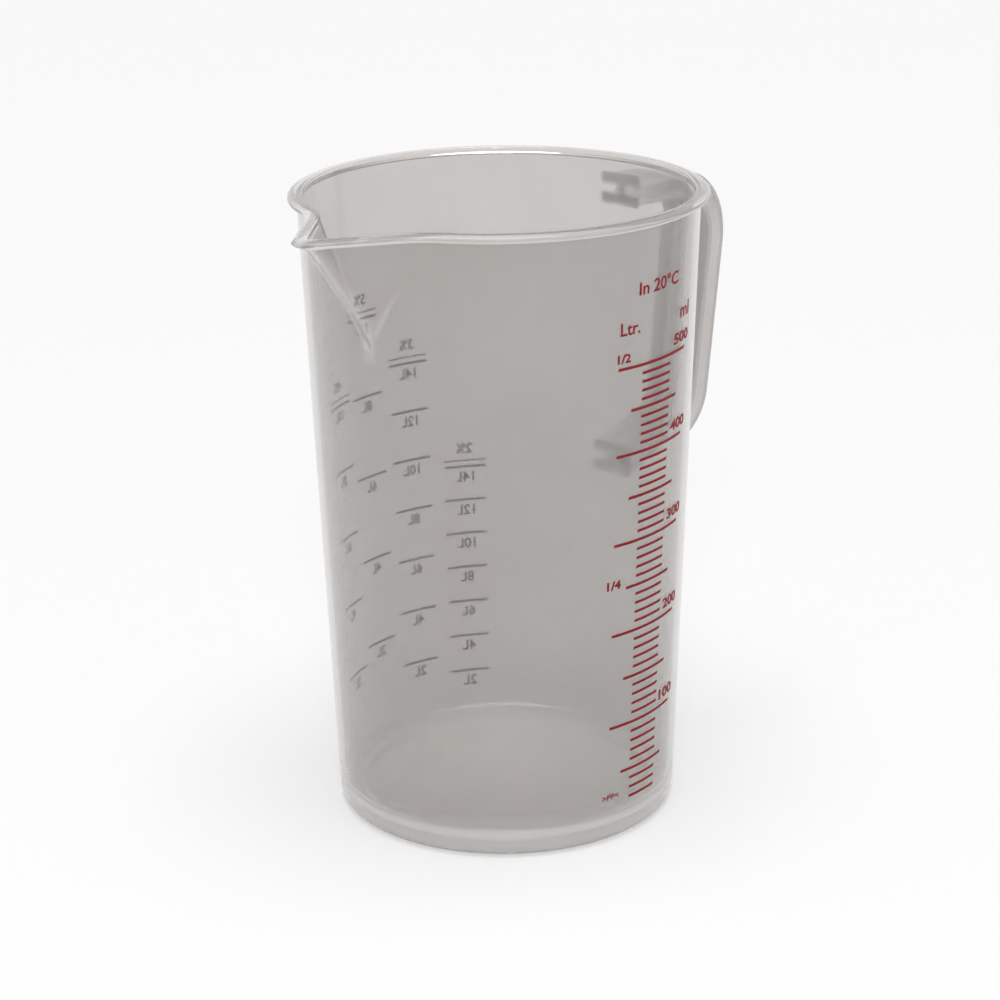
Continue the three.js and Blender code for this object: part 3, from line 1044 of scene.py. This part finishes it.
class MEASURING_CUP_OT_stage(bpy.types.Operator):
    """Set the floor, the light and the camera"""

    bl_idname = "measuring_cup.stage"
    bl_label = "Stage"

    def execute(self, context):
        stage = context.scene.cup_stage
        self.floor(context, stage)
        self.world(context, stage)
        self.lamps(context, stage)
        self.camera(context, stage)
        context.scene.view_settings.view_transform = "Standard"
        # Light runs along inside the handle and the rim, and is reflected many times on its way out.
        context.scene.cycles.max_bounces = 64
        context.scene.cycles.glossy_bounces = 48
        context.scene.cycles.transmission_bounces = 48
        return {"FINISHED"}

    def floor(self, context, stage):
        """A wide disc under the cup."""
        bm = bmesh.new()
        bmesh.ops.create_circle(bm, cap_ends=True, segments=96, radius=stage.floor_radius)
        floor = new_object("floor", bm)
        floor.data.materials.append(studio_card(context.scene.cup_colours))

    def world(self, context, stage):
        """Even soft light from all around, and white to a ray that looks at it."""
        world = bpy.data.worlds.new("studio")
        world.use_nodes = True
        tree = world.node_tree
        tree.nodes.clear()
        strength = add_node(
            tree, "ShaderNodeMapRange", {"To Min": stage.ambient, "To Max": 1.0},
            {"Value": looking_ray(tree)},
        )
        sky = add_node(
            tree, "ShaderNodeBackground", {"Color": context.scene.cup_colours.sky},
            {"Strength": strength.outputs["Result"]},
        )
        add_node(tree, "ShaderNodeOutputWorld", None, {"Surface": sky.outputs["Background"]})
        context.scene.world = world

    def lamps(self, context, stage):
        """A broad lamp overhead, and a small one over the camera that puts gloss on rim and wall."""
        overhead, over_camera = Vector((-0.2, -0.2, 2.2)), Vector((-0.54, -0.45, 0.6))
        sky = bpy.data.lights.new("sky lamp", "SUN")
        sky.energy = stage.sky_lamp
        sky.angle = stage.sky_spread
        self.aim(context, sky, overhead)
        front = bpy.data.lights.new("front lamp", "AREA")
        front.energy = stage.front_lamp
        front.size = stage.front_size
        self.aim(context, front, over_camera)

    def aim(self, context, lamp, place):
        """Puts a lamp at a place, looking at the middle of the cup."""
        holder = bpy.data.objects.new(lamp.name, lamp)
        target = AXIS + Vector((0, 0, CUP_HIGH.z / 2))
        holder.location = place
        holder.rotation_euler = (target - place).to_track_quat("-Z", "Y").to_euler()
        context.scene.collection.objects.link(holder)

    def camera(self, context, stage):
        """The camera: its place, direction and lens."""
        lens = bpy.data.cameras.new("camera")
        lens.lens = stage.camera_lens
        lens.clip_end = 2 * stage.floor_radius
        holder = bpy.data.objects.new("camera", lens)
        out = Vector((math.cos(stage.camera_azimuth), math.sin(stage.camera_azimuth), 0))
        place = AXIS + out * stage.camera_distance + Vector((0, 0, stage.camera_height))
        heading = stage.camera_azimuth + math.pi / 2 + stage.camera_heading
        holder.matrix_world = (
            Matrix.Translation(place)
            @ Matrix.Rotation(heading, 4, "Z")
            @ Matrix.Rotation(math.pi / 2 - stage.camera_pitch, 4, "X")
            @ Matrix.Rotation(stage.camera_roll, 4, "Z")
        )
        context.scene.collection.objects.link(holder)
        context.scene.camera = holder


OPERATORS = (
    MEASURING_CUP_OT_vessel,
    MEASURING_CUP_OT_grip,
    MEASURING_CUP_OT_scale_lines,
    MEASURING_CUP_OT_scale_words,
    MEASURING_CUP_OT_mixing_scale,
    MEASURING_CUP_OT_stage,
)


class MEASURING_CUP_PT_panel(bpy.types.Panel):
    """Lists the pieces of the cup in the order in which they are made"""

    bl_idname = "MEASURING_CUP_PT_panel"
    bl_label = "Measuring Cup"
    bl_space_type = "VIEW_3D"
    bl_region_type = "UI"
    bl_category = "Measuring Cup"

    def draw(self, context):
        for operator in OPERATORS:
            self.layout.operator(operator.bl_idname)
        for name in SETTINGS:
            box = self.layout.box()
            for key in getattr(context.scene, name).bl_rna.properties.keys():
                if key not in ("rna_type", "name"):
                    box.prop(getattr(context.scene, name), key)


SETTINGS = {
    "cup_moulding": MouldingSizes,
    "cup_handle": HandleSizes,
    "cup_print": PrintSizes,
    "cup_colours": FinishColours,
    "cup_stage": StageSizes,
}
CLASSES = (*SETTINGS.values(), *OPERATORS, MEASURING_CUP_PT_panel)


def register():
    for cls in CLASSES:
        bpy.utils.register_class(cls)
    for name, group in SETTINGS.items():
        setattr(bpy.types.Scene, name, PointerProperty(type=group))


def unregister():
    for name in SETTINGS:
        delattr(bpy.types.Scene, name)
    for cls in reversed(CLASSES):
        bpy.utils.unregister_class(cls)


def main():
    register()
    bpy.ops.measuring_cup.vessel()
    bpy.ops.measuring_cup.grip()
    bpy.ops.measuring_cup.scale_lines()
    bpy.ops.measuring_cup.scale_words()
    bpy.ops.measuring_cup.mixing_scale()
    bpy.ops.measuring_cup.stage()


if __name__ == "__main__":
    main()
